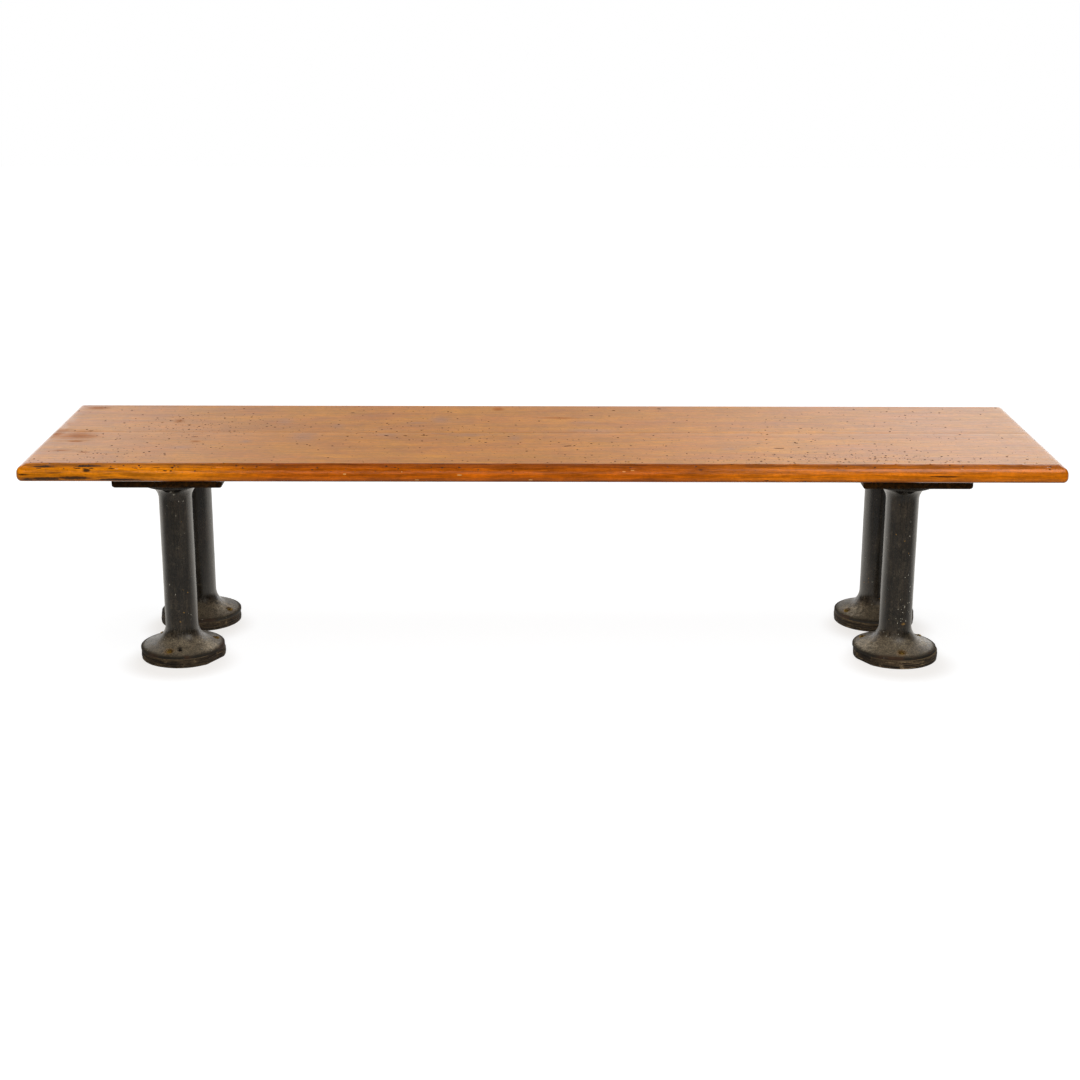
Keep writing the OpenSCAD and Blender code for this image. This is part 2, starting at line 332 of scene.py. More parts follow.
def board_mesh(name, side):
    """Half of the seat, from the glue line to the front (side -1) or the back (side 1)."""
    made = slab_mesh(seat_low, seat_size, top_round, under_round, corner_round)
    cut_across(made, 0, steps_between(seat_low.x, seat_high.x, seat_cell))
    brow = side * (seat_size.y / 2 - sloped_reach)
    rows = steps_between(seat_low.y, seat_high.y, 2 * seat_cell)
    cut_across(made, 1, rows + [side * glue_width, brow, brow - side * slope_rim])
    found = bmesh.ops.bisect_plane(
        made, geom=made.verts[:] + made.edges[:] + made.faces[:],
        plane_co=(0, 0, 0), plane_no=(0, -side, 0), clear_outer=True)
    rim = [e for e in found["geom_cut"] if isinstance(e, bmesh.types.BMEdge)]
    bmesh.ops.holes_fill(made, edges=rim)
    for vert in made.verts:
        if abs(vert.co.y) < glue_width / 10 and vert.co.z > seat_high.z - glue_depth:
            vert.co.z -= glue_depth
        rim_gap = min(vert.co.x - seat_low.x, seat_high.x - vert.co.x, seat_size.y / 2 - abs(vert.co.y))
        slope = seat_high.z - sloped_fall * max(0.0, sloped_reach - seat_size.y / 2 + abs(vert.co.y))
        vert.co.z = min(vert.co.z, slope)
        if rim_gap < top_round and abs(vert.co.y) > glue_width:
            wear = noise.noise(vert.co * wear_waves) + 0.5 * noise.noise(vert.co * fine_waves)
            inward = Vector((-vert.co.x / seat_size.x, -vert.co.y / seat_size.y, -0.3)).normalized()
            vert.co += inward * edge_wear * max(0.0, wear)
    mesh = plain_mesh(name, made)
    share = mesh.attributes.new("pitting", "FLOAT", "POINT")
    for vert, value in zip(mesh.vertices, share.data):
        value.value = pit_share(vert.co)
    return mesh


# Larger gouges and dents: middle on the top, length and width in mm, turn in degrees
gouges = [
    (45, -100, 16, 5, 20), (425, -115, 20, 4, -6), (230, 205, 9, 5, -12), (95, 145, 8, 4, 0),
    (140, 190, 7, 4, -20), (-367, 165, 8, 4, 0), (462, -75, 7, 4, -10), (485, 40, 6, 4, 0),
    (-288, -23, 10, 5, -30), (-253, -23, 8, 4, -10), (-220, -21, 9, 4, 0), (-640, -35, 12, 4, 10),
    (150, -235, 14, 5, 0), (-840, 10, 10, 4, 0),
]
gouge_depth = 1.2 * MM
# Chips out of the front edge: place along the seat, height above the floor, length and
# height of the mark in mm, and 0 for an old one full of dirt or 1 for new pale wood
chips = [
    (-874, 394.5, 10, 3, 0), (-807, 394.5, 12, 4, 0), (-795, 394, 7, 3, 0), (-783, 394.5, 9, 3, 0),
    (-748, 394.5, 12, 4, 0), (-739, 394, 7, 3, 1), (-706, 395, 9, 3, 0), (-670, 396, 14, 4, 0),
    (-655, 391, 8, 4, 0), (-570, 397, 10, 4, 0), (-470, 397, 9, 3, 0), (-370, 397.9, 12, 2.5, 1),
    (-344, 386, 6, 3, 1), (-245, 390, 2, 9, 1), (-219, 375.6, 8, 2.5, 1), (-145, 384.7, 9, 2.5, 1),
    (-21.5, 376, 8, 2.5, 1), (140, 391, 6, 3, 1), (155, 393, 7, 3, 1), (192, 399, 8, 4, 0),
    (273, 394, 7, 4, 0), (388, 375.2, 9, 3, 0), (455, 374, 8, 4, 0), (727.5, 396, 6, 3, 1),
    (880, 395, 5, 3, 0),
]
chip_depth = 0.8 * MM


def gouge_mesh(dark, pale):
    """The cutters of the gouges and chips, as flattened balls in two materials."""
    made = bmesh.new()

    def add_ball(place, half_sizes, material):
        shape = Matrix.Diagonal((*half_sizes, 1))
        found = bmesh.ops.create_icosphere(made, subdivisions=2, radius=1, matrix=place @ shape)
        for face in {face for vert in found["verts"] for face in vert.link_faces}:
            face.material_index = material

    for x, y, length, width, turn in gouges:
        place = Matrix.Translation((x * MM, y * MM, seat_high.z))
        place = place @ Matrix.Rotation(math.radians(turn), 4, "Z")
        add_ball(place, (length * MM / 2, width * MM / 2, gouge_depth), 0)
    for x, level, length, tall, material in chips:
        drop = seat_high.z - level * MM
        climb = max(0.0, top_round - drop, under_round - (seat_size.z - drop))
        curve, lean = (top_round, 1) if drop < top_round else (under_round, -1)
        out = math.sqrt(curve ** 2 - climb ** 2)
        place = Matrix.Translation((x * MM, seat_low.y + curve - out, level * MM))
        place = place @ Matrix.Rotation(lean * math.atan2(climb, out), 4, "X")
        add_ball(place, (length * MM / 2, chip_depth, tall * MM / 2), material)
    mesh = plain_mesh("gouge_cutters", made)
    mesh.materials.append(dark)
    mesh.materials.append(pale)
    return mesh


def geometry_tree(name, inputs):
    """A geometry node tree with one geometry in and out, and the sockets of its inputs."""
    tree = bpy.data.node_groups.new(name, "GeometryNodeTree")
    for way in ("INPUT", "OUTPUT"):
        tree.interface.new_socket("Geometry", in_out=way, socket_type="NodeSocketGeometry")
    for label, kind in inputs.items():
        tree.interface.new_socket(label, in_out="INPUT", socket_type="NodeSocket" + kind)
    return tree, tree.nodes.new("NodeGroupInput").outputs


def coated(tree, geometry, material):
    """A geometry in one material."""
    return put(tree, "GeometryNodeSetMaterial", {"Geometry": geometry, "Material": material}).outputs[0]


def realized(tree, geometry):
    """A geometry with its instances made real."""
    return put(tree, "GeometryNodeRealizeInstances", {"Geometry": geometry}).outputs[0]


def cut_out(tree, mesh, cutters):
    """A mesh with cutters taken out of it."""
    return put(tree, "GeometryNodeMeshBoolean", {"Mesh 1": mesh, "Mesh 2": cutters},
               operation="DIFFERENCE", solver="MANIFOLD").outputs[0]


def ended(tree, geometry):
    """A geometry node tree that gives a geometry as its result."""
    tree.links.new(geometry, tree.nodes.new("NodeGroupOutput").inputs[0])
    return tree


def run_tree(name, mesh, tree, values):
    """Runs a tree on a mesh and gives the result as one object with a plain mesh."""
    made = add_object(name, mesh)
    modifier = made.modifiers.new("build", "NODES")
    modifier.node_group = tree
    for item in tree.interface.items_tree:
        if item.in_out == "INPUT" and item.name in values:
            modifier[item.identifier] = values[item.name]
    graph = bpy.context.evaluated_depsgraph_get()
    result = bpy.data.meshes.new_from_object(made.evaluated_get(graph))
    made.modifiers.remove(modifier)
    made.data = result
    result.name = name
    return made


pit_count = 6000.0
# Length, width and depth of the smallest and the largest pits, how much rarer the large
# ones are, and how far a pit leans and turns
pit_least = (1.4 * MM, 1.3 * MM, 0.6 * MM)
pit_most = (4.6 * MM, 5.4 * MM, 2.0 * MM)
pit_rarity = 2.2
pit_swing = Vector((0.1, 0.1, 0.5))
pit_swing_seed = 7
pit_upward = 0.3


def pit_tree():
    """Scatters small hollows over a board, thicker where it is worn, and cuts them out."""
    tree, given = geometry_tree("pitted timber", {
        "Pits per square metre": "Float", "Shortest": "Vector", "Longest": "Vector",
        "Seed": "Int", "Gouges": "Object", "Varnish": "Material", "Pit dirt": "Material"})
    share = put(tree, "GeometryNodeInputNamedAttribute", {"Name": "pitting"}, data_type="FLOAT")
    density = calc(tree, "MULTIPLY", share.outputs[0], given["Pits per square metre"])
    facing = parts(tree, put(tree, "GeometryNodeInputNormal").outputs[0])["Z"]
    upward = put(tree, "FunctionNodeCompare", {0: facing, 1: pit_upward}, operation="GREATER_THAN")
    spots = put(tree, "GeometryNodeDistributePointsOnFaces", {
        "Mesh": given["Geometry"], "Selection": upward.outputs[0], "Density": density,
        "Seed": given["Seed"]})
    lot = put(tree, "FunctionNodeRandomValue", {"Seed": given["Seed"]}, data_type="FLOAT").outputs[1]
    span = on_vector(tree, "SUBTRACT", given["Longest"], given["Shortest"])
    size = on_vector(tree, "SCALE", span, calc(tree, "POWER", lot, pit_rarity))
    size = on_vector(tree, "ADD", size, given["Shortest"])
    swing = put(tree, "FunctionNodeRandomValue", {
        0: -pit_swing, 1: pit_swing, "Seed": pit_swing_seed}, data_type="FLOAT_VECTOR")
    ball = put(tree, "GeometryNodeMeshIcoSphere", {"Radius": 0.5, "Subdivisions": 2})
    pits = put(tree, "GeometryNodeInstanceOnPoints", {
        "Points": spots.outputs["Points"], "Scale": size, "Rotation": swing.outputs[0],
        "Instance": coated(tree, ball.outputs["Mesh"], given["Pit dirt"])})
    marks = put(tree, "GeometryNodeObjectInfo", {"Object": given["Gouges"]})
    both = put(tree, "GeometryNodeJoinGeometry")
    tree.links.new(pits.outputs[0], both.inputs[0])
    tree.links.new(marks.outputs["Geometry"], both.inputs[0])
    board = coated(tree, given["Geometry"], given["Varnish"])
    return ended(tree, cut_out(tree, board, realized(tree, both.outputs[0])))


def mix_colour(tree, share, first, second):
    """The colour socket of a Mix node between two colours."""
    inputs = {0: share, 6: first, 7: second}
    return put(tree, "ShaderNodeMix", inputs, data_type="RGBA", clamp_factor=True).outputs[2]


def cover(tree, tone, mask, share, over):
    """A colour covered by another to a share where a mask is 1."""
    return mix_colour(tree, calc(tree, "MULTIPLY", mask, share), tone, over)


def dimmed(tree, tone, *value_ramp):
    """A colour times a value, or times a ramp of it."""
    share = ramp(tree, *value_ramp) if len(value_ramp) > 1 else value_ramp[0]
    return on_vector(tree, "SCALE", tone, share)


def grain(tree, place, scale, detail=4.0, rough=0.6, twist=0.0):
    """A noise value at one scale, or at a scale for each of X, Y and Z."""
    if isinstance(scale, tuple):
        place = put(tree, "ShaderNodeMapping", {"Vector": place, "Scale": scale}).outputs[0]
        scale = 1.0
    inputs = {"Vector": place, "Scale": scale, "Detail": detail, "Roughness": rough, "Distortion": twist}
    return put(tree, "ShaderNodeTexNoise", inputs).outputs[0]


def blots(tree, place, ovals, wobble, soft):
    """Ragged ovals as one mask, each given by its middle and its half sizes in mm."""
    whole = None
    for oval in ovals:
        sizes = [value * MM for value in oval]
        away = on_vector(tree, "DIVIDE", on_vector(tree, "SUBTRACT", place, sizes[:3]), sizes[3:])
        inside = calc(tree, "SUBTRACT", 1.5, on_vector(tree, "LENGTH", away))
        whole = inside if whole is None else calc(tree, "MAXIMUM", whole, inside)
    return ramp(tree, calc(tree, "ADD", whole, wobble), 1.0 - soft, 1.0 + soft)


def bumpy(tree, height, strength, distance, **normal):
    """The normal of a small relief, over another normal if one is given."""
    inputs = {"Height": height, "Strength": strength, "Distance": distance, **normal}
    return put(tree, "ShaderNodeBump", inputs).outputs[0]


def surfaced(tree, inputs):
    """Ends a material's tree in one shader with these inputs."""
    shader = put(tree, "ShaderNodeBsdfPrincipled", inputs)
    put(tree, "ShaderNodeOutputMaterial", {"Surface": shader.outputs[0]})


def colour(red, green, blue):
    """A colour from its usual 0 to 255 values, as the linear value that a socket takes."""
    def linear(value):
        share = value / 255
        return share / 12.92 if share <= 0.04045 else ((share + 0.055) / 1.055) ** 2.4
    return (linear(red), linear(green), linear(blue), 1)


wood_gold = colour(182, 117, 20)
wood_red = colour(170, 101, 22)
haze_blue = colour(157, 106, 72)
worn_pink = colour(176, 112, 44)
end_brown = colour(148, 78, 16)
# The front edge's colours carry painted light: brighter at the two ends, darker in the middle
lit_edge_left = colour(208, 119, 4)
lit_edge_right = colour(206, 110, 4)
shaded_edge_middle = colour(184, 89, 1)
pale_wood = colour(226, 172, 96)
floor_dirt = colour(30, 22, 14)
# Patches on the top: middle, half length and half width in mm
blue_patches = [
    (-440, -35, 40, 50), (-490, 90, 25, 40), (-385, 55, 25, 30), (-195, 105, 28, 45),
    (-140, -18, 60, 18), (-50, -40, 25, 30), (100, 14, 85, 26), (-235, 80, 40, 14),
    (-290, -20, 40, 22), (-650, -115, 40, 20), (-540, -70, 18, 16), (80, 88, 40, 12),
    (335, -120, 20, 15), (545, 20, 8, 8),
]
pink_patches = [
    (-680, 40, 150, 90), (-760, -80, 80, 70), (-580, -40, 130, 60), (-320, 10, 110, 40),
    (-160, 80, 60, 60), (60, -30, 100, 30), (340, -70, 60, 60), (700, 60, 150, 110),
    (780, -90, 120, 60), (460, 70, 60, 40),
]
faint_patches = [
    (570, 118, 10, 20), (640, 78, 45, 30), (845, 70, 34, 50), (880, 130, 14, 20),
    (672, -15, 14, 20), (350, 185, 70, 30),
]
brown_patches = [
    (-898, -15, 22, 40), (-855, -30, 50, 44), (-850, -72, 16, 8), (-860, -140, 26, 14),
    (-815, -152, 16, 8), (-690, 95, 14, 18), (-632, -70, 12, 10), (30, 125, 50, 10),
    (-85, 205, 12, 20), (-870, 205, 30, 16),
]
# Smudges of floor dirt on the front edge: place along it, height and half sizes in mm
edge_smudges = [
    (-870, 377, 50, 4.6), (-815, 378.5, 44, 4.2), (-791, 391.5, 8, 3.6), (-735, 375.5, 40, 3.5),
    (-900, 384, 16, 2.2), (-865, 396.5, 26, 1.6), (-795, 397, 30, 1.6), (-850, 387, 22, 1.4),
    (700, 383, 40, 1.6),
]
any_depth = 1000
# How far the back board's grain is moved along it, so that the two boards differ
board_shift = 3.7
# Painted light and shade: the front edge is coloured brighter towards both ends, as side lamps would light
# it, and darker in its middle
# Where the middle of the darker stretch of the front edge lies, and where it fades out
painted_shade_middle = -0.12
painted_shade_half = (0.30, 0.56)


def varnished_wood():
    """Amber varnish over lengthwise grain, hazed and worn through in patches on top."""
    material, tree, place = new_material("varnished_pine")
    along, across, level = parts(tree, place)
    back = calc(tree, "GREATER_THAN", across, 0.0)
    moved = put(tree, "ShaderNodeCombineXYZ", {
        "X": calc(tree, "MULTIPLY_ADD", back, board_shift, along), "Y": across, "Z": level}).outputs[0]
    figure = grain(tree, moved, (3, 30, 30), 3, 0.55, 0.6)
    streak = grain(tree, moved, (12, 160, 160), 5, 0.65, 0.3)
    fine = grain(tree, moved, (40, 900, 900), 4, 0.7)
    cloud = grain(tree, moved, (6, 20, 20), 6, 0.66)
    check = grain(tree, moved, (7, 260, 260), 4, 0.6, 0.2)
    waves = grain(tree, moved, (14, 70, 70), 2, 0.5)
    blotch = grain(tree, place, (20, 13, 13), 5, 0.62, 0.8)
    speckle = grain(tree, place, (110, 140, 140), 3, 0.6)
    specks = grain(tree, place, (330, 260, 420), 3, 0.6)

    # The worn top ends at the round of the edge, and at the brow of the planed slope
    top = ramp(tree, level, seat_high.z - 1.6 * MM, seat_high.z - 0.2 * MM)
    from_middle = calc(tree, "MULTIPLY_ADD", cloud, 4 * MM, calc(tree, "ABSOLUTE", across))
    brow = seat_size.y / 2 - sloped_reach + 2 * MM
    top = calc(tree, "MINIMUM", top, ramp(tree, from_middle, brow - 0.8 * MM, brow + 0.8 * MM, 1.0, 0.0))

    tone = mix_colour(tree, ramp(tree, cloud, 0.34, 0.66), wood_red, wood_gold)
    wobble = calc(tree, "MULTIPLY_ADD", cloud, 1.6, -0.8)
    wobble = calc(tree, "ADD", wobble, calc(tree, "MULTIPLY_ADD", figure, 0.9, -0.45))
    flat = on_vector(tree, "MULTIPLY", place, (1, 1, 0))
    for patches, patch_tone, share, ragged in (
            (pink_patches, worn_pink, 0.55, 1.0), (blue_patches, haze_blue, 0.7, 1.0),
            (faint_patches, end_brown, 0.25, 1.9), (brown_patches, end_brown, 0.7, 1.9)):
        ovals = [(x, y, 0, half_x, half_y, any_depth) for x, y, half_x, half_y in patches]
        stained = blots(tree, flat, ovals, calc(tree, "MULTIPLY", wobble, ragged), 0.5)
        tone = cover(tree, tone, stained, share, patch_tone)
    left_end = calc(tree, "MULTIPLY_ADD", wobble, 0.06, along)
    tone = mix_colour(tree, ramp(tree, left_end, -0.91, -0.84, 0.18, 0.0), tone, end_brown)
    # Painted light: the top's colour darkens towards the left end and brightens towards the right, where
    # the glare is stronger
    tone = dimmed(tree, tone, along, -0.55, 0.40, 0.93, 1.08)

    sideways = calc(tree, "ABSOLUTE", calc(tree, "SUBTRACT", along, painted_shade_middle))
    # Painted light: the edge's colour brightens towards both ends and darkens in its middle
    edge = mix_colour(tree, ramp(tree, along, 0.0, 0.3), lit_edge_left, lit_edge_right)
    edge = mix_colour(tree, ramp(tree, sideways, *painted_shade_half), shaded_edge_middle, edge)
    upper = ramp(tree, level, seat_high.z - 6.5 * MM, seat_high.z - 1.5 * MM, 1.0, 0.60)
    # Painted shade: the front edge is coloured darker on its upper shoulder, more so in its middle
    shoulder_shade_depth = ramp(tree, sideways, *painted_shade_half, 0.70, 0.88)
    shoulder_shade = ramp(tree, level, seat_high.z - 14 * MM, seat_high.z - 9 * MM, 1.0, shoulder_shade_depth)
    # Painted shade: the lower round of the front edge, which faces down, is coloured darker
    under = ramp(tree, level, seat_low.z + 0.5 * MM, seat_low.z + 6 * MM, 0.58, 1.05)
    edge = dimmed(tree, edge, calc(tree, "MULTIPLY", calc(tree, "MULTIPLY", upper, shoulder_shade), under))
    edge = dimmed(tree, edge, streak, 0.34, 0.62, 0.74, 1.12)
    tone = mix_colour(tree, top, edge, tone)

    for value, low, high, start, end in (
            (figure, 0.30, 0.70, 0.92, 1.08), (streak, 0.36, 0.64, 0.90, 1.10),
            (fine, 0.36, 0.64, 0.88, 1.12), (speckle, 0.30, 0.70, 0.90, 1.10),
            (check, 0.58, 0.70, 1.0, 0.78), (specks, 0.61, 0.70, 1.0, 0.58),
            (blotch, 0.36, 0.64, 0.94, 1.06)):
        tone = dimmed(tree, tone, value, low, high, start, end)
    smeared = calc(tree, "MULTIPLY_ADD", streak, 2.6, calc(tree, "MULTIPLY_ADD", speckle, 0.8, -1.5))
    ovals = [(x, 0, z, half_x, any_depth, half_z) for x, z, half_x, half_z in edge_smudges]
    tone = cover(tree, tone, blots(tree, place, ovals, smeared, 0.3), 0.92, floor_dirt)

    rough = calc(tree, "MULTIPLY_ADD", top, 0.14, 0.12)
    for value, gain in ((streak, 0.12), (cloud, 0.10), (calc(tree, "MULTIPLY", stained, top), 0.18)):
        rough = calc(tree, "MULTIPLY_ADD", value, gain, rough)
    ripple = bumpy(tree, waves, 1.0, 0.6 * MM)
    lines = calc(tree, "MULTIPLY_ADD", streak, 0.6, calc(tree, "MULTIPLY", fine, 0.4))
    surfaced(tree, {"Base Color": tone, "Roughness": rough, "IOR": 1.5,
                    "Normal": bumpy(tree, lines, 0.3, 0.2 * MM, Normal=ripple)})
    return material


def mottled(name, first, second, scale, rough):
    """A dull surface that wanders between two colours."""
    material, tree, place = new_material(name)
    tone = mix_colour(tree, grain(tree, place, scale, 3), first, second)
    surfaced(tree, {"Base Color": tone, "Roughness": rough})
    return material


def finish_piece(piece, node, sharp_angle=35):
    """Smooths the faces of a finished piece, then seats it in the frame for its node."""
    mesh = piece.data
    mesh.shade_smooth()
    mesh.set_sharp_from_angle(angle=math.radians(sharp_angle))
    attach(piece, "root")
    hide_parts(node)


pitted = pit_tree()
varnish = varnished_wood()
dirt = mottled("pit_dirt", colour(30, 17, 10), colour(78, 44, 24), 900.0, 0.8)
bare = mottled("bare_chips", colour(208, 148, 84), pale_wood, 700.0, 0.6)
cutters = add_object("gouge_cutters", gouge_mesh(dirt, bare))
for name, node, side, seed in (("seat_front", "seat_board_front", -1, 5),
                               ("seat_back", "seat_board_back", 1, 11)):
    board = run_tree(name, board_mesh(name, side), pitted, {
        "Pits per square metre": pit_count, "Shortest": pit_least, "Longest": pit_most,
        "Seed": seed, "Gouges": cutters, "Varnish": varnish, "Pit dirt": dirt})
    finish_piece(board, node)
bpy.data.objects.remove(cutters)


# Cleats
# Two dark stained boards that run across under the seat, square above and rounded
# over below. Each is screwed up into both seat boards and carries two legs.
cleat_round = 7 * MM
cleat_arris = 0.8 * MM
cleat_corner = 1.5 * MM
cleat_row_edge = 15 * MM
cleat_rows = (-150 * MM, -50 * MM, 50 * MM, 150 * MM)
cleat_screw_d = 4.5 * MM
cleat_head_d = 9 * MM
sink_slack = 0.4 * MM
sink_lead = 1 * MM
drill_sides = 32
stain_dark = colour(30, 17, 3)
stain_light = colour(78, 48, 14)


def point_object(name, places):
    """A mesh of loose points, which a tree can set things on."""
    mesh = bpy.data.meshes.new(name)
    mesh.from_pydata(places, [], [])
    return add_object(name, mesh)


def raised(tree, mesh, rise):
    """A mesh moved up."""
    shift = put(tree, "ShaderNodeCombineXYZ", {"Z": rise}).outputs[0]
    return put(tree, "GeometryNodeTransform", {"Geometry": mesh, "Translation": shift}).outputs[0]


def cylinder(tree, sides, radius, depth):
    """An upright cylinder about the origin."""
    inputs = {"Vertices": sides, "Radius": radius, "Depth": depth}
    return put(tree, "GeometryNodeMeshCylinder", inputs).outputs[0]


def cone(tree, sides, bottom, top, depth):
    """An upright cone that stands on the origin."""
    inputs = {"Vertices": sides, "Radius Bottom": bottom, "Radius Top": top, "Depth": depth}
    return put(tree, "GeometryNodeMeshCone", inputs).outputs[0]


def cut_at_points(tree, mesh, points, cutter):
    """Cuts a copy of the cutter out of a mesh at each point of an object."""
    info = put(tree, "GeometryNodeObjectInfo", {"Object": points})
    copies = put(tree, "GeometryNodeInstanceOnPoints", {
        "Points": info.outputs["Geometry"], "Instance": cutter})
    return cut_out(tree, mesh, realized(tree, copies.outputs[0]))


def cleat_tree():
    """Sinks a countersink into the lower face of a cleat at each of its screws."""
    tree, given = geometry_tree("drilled cleat", {
        "Screws": "Object", "Head radius": "Float", "Shank radius": "Float", "Stain": "Material"})
    head, shank = given["Head radius"], given["Shank radius"]
    slope = cone(tree, drill_sides, head, shank, calc(tree, "SUBTRACT", head, shank))
    lead = raised(tree, cylinder(tree, drill_sides, head, sink_lead), -sink_lead / 2)
    drilled = given["Geometry"]
    for cutter in (slope, lead):
        drilled = cut_at_points(tree, drilled, given["Screws"], cutter)
    return ended(tree, coated(tree, realized(tree, drilled), given["Stain"]))


def stained_wood():
    """Nearly black stain over a grain that runs from front to back."""
    material, tree, place = new_material("dark_stain")
    streak = grain(tree, place, (160, 5, 160), 5, 0.6)
    cloud = grain(tree, place, (30, 12, 30), 4, 0.6)
    tone = mix_colour(tree, ramp(tree, streak, 0.35, 0.7), stain_dark, stain_light)
    tone = mix_colour(tree, ramp(tree, cloud, 0.4, 0.7, 0.0, 0.6), tone, stain_dark)
    surfaced(tree, {
        "Base Color": tone, "Roughness": calc(tree, "MULTIPLY_ADD", cloud, 0.2, 0.45),
        "Normal": bumpy(tree, streak, 0.3, 0.5 * MM), "Specular IOR Level": 0.1})
    return material


stain = stained_wood()
drilled_cleat = cleat_tree()
cleat_screw_points = {}
for side in ("left", "right"):
    cleat_low, cleat_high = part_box("cleat_" + side)
    columns = (cleat_low.x + cleat_row_edge, cleat_high.x - cleat_row_edge)
    places = [(x, y, cleat_low.z) for x in columns for y in cleat_rows]
    cleat_screw_points[side] = point_object("cleat_screw_points_" + side, places)
    slab = slab_mesh(cleat_low, cleat_high - cleat_low, cleat_arris, cleat_round, cleat_corner)
    cut_across(slab, 1, steps_between(cleat_low.y, cleat_high.y, 2 * seat_cell))
    cleat = run_tree("cleat_board_" + side, plain_mesh("cleat", slab), drilled_cleat, {
        "Screws": cleat_screw_points[side], "Head radius": cleat_head_d / 2 + sink_slack,
        "Shank radius": cleat_screw_d / 2, "Stain": stain})
    finish_piece(cleat, "cleat_" + side)


# Legs
# Four hollow grey-iron castings, each a column that flares into a wide base flange and
# a smaller top flange. Flat seats are cut for the foot screws and pockets for the top ones.
pad_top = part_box("leg_front_left")[0].z
leg_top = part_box("leg_front_left")[1].z
leg_height = leg_top - pad_top
column_r = 59.5 * MM / 2
bore_r = column_r - 6 * MM
base_r = (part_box("leg_front_left")[1].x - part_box("leg_front_left")[0].x) / 2
base_rim = 6 * MM
base_slope = math.radians(18)
base_flare = 34 * MM
top_r = 57 * MM
top_rim = 8 * MM
top_slope = math.radians(4)
top_flare = 27 * MM
rim_round = 1.6 * MM
rim_steps = 4
flare_steps = 16
foot_circle_r = 62 * MM
foot_seat = 9 * MM
foot_head_d = 10.5 * MM
seat_cut = 3 * MM
# Where the first foot screw of each leg stands, and the middle of its first pair of top
# screws, in degrees about the column
foot_turns = {"front_left": -104, "front_right": -87, "back_left": -20, "back_right": -158}
top_turns = {"front_left": -87, "front_right": -95, "back_left": -90, "back_right": -90}
spare_turn = 19
spare_circle_r = 58 * MM
spare_r = 3.25 * MM
top_circle_r = 43 * MM
top_pair = 28
pocket_r = 7 * MM
column_step = 5 * MM
lathe_steps = 192
# Lumps of the sand mould, the seam where its halves met, and the band by each flat face
# over which both fade out
lump_height = 0.7 * MM
lump_scale = 28.0
lump_middle = 0.55
seam_height = 0.35 * MM
seam_half = (0.6 * MM, 1.8 * MM)
smooth_faces = (0.5 * MM, 4 * MM)
weld_gap = 0.01 * MM
cutter_h = 30 * MM
cutter_sides = 48


def arc(centre, radius, first, last, steps):
    """Points along an arc, angles in radians."""
    angles = [first + (last - first) * i / steps for i in range(steps + 1)]
    return [(centre[0] + radius * math.cos(a), centre[1] + radius * math.sin(a)) for a in angles]


def flange_profile(radius, rim, slope, flare):
    """The outside of a flange from its flat face to the column, as radius and height."""
    foot = column_r + flare * (1 - math.sin(slope))
    rise = rim + (radius - foot) * math.tan(slope) + flare * math.cos(slope)
    quarter = math.pi / 2
    points = arc((radius - rim_round, rim_round), rim_round, -quarter, 0, rim_steps)
    points += arc((radius - rim_round, rim - rim_round), rim_round, 0, quarter - slope, rim_steps)
    points += arc((column_r + flare, rise), flare, -quarter - slope, -math.pi, flare_steps)
    return points


def leg_profile(height):
    """The closed half section of a leg, with no step longer than column_step."""
    base = flange_profile(base_r, base_rim, base_slope, base_flare)
    head = [(r, height - z) for r, z in reversed(flange_profile(top_r, top_rim, top_slope, top_flare))]
    corners = [(bore_r, 0)] + base + head + [(bore_r, height), (bore_r, 0)]
    points = []
    for (r0, z0), (r1, z1) in zip(corners, corners[1:]):
        count = max(1, math.ceil(math.hypot(r1 - r0, z1 - z0) / column_step))
        points += [(r0 + (r1 - r0) * i / count, 0, z0 + (z1 - z0) * i / count) for i in range(count)]
    return points + [(bore_r, 0, 0)]


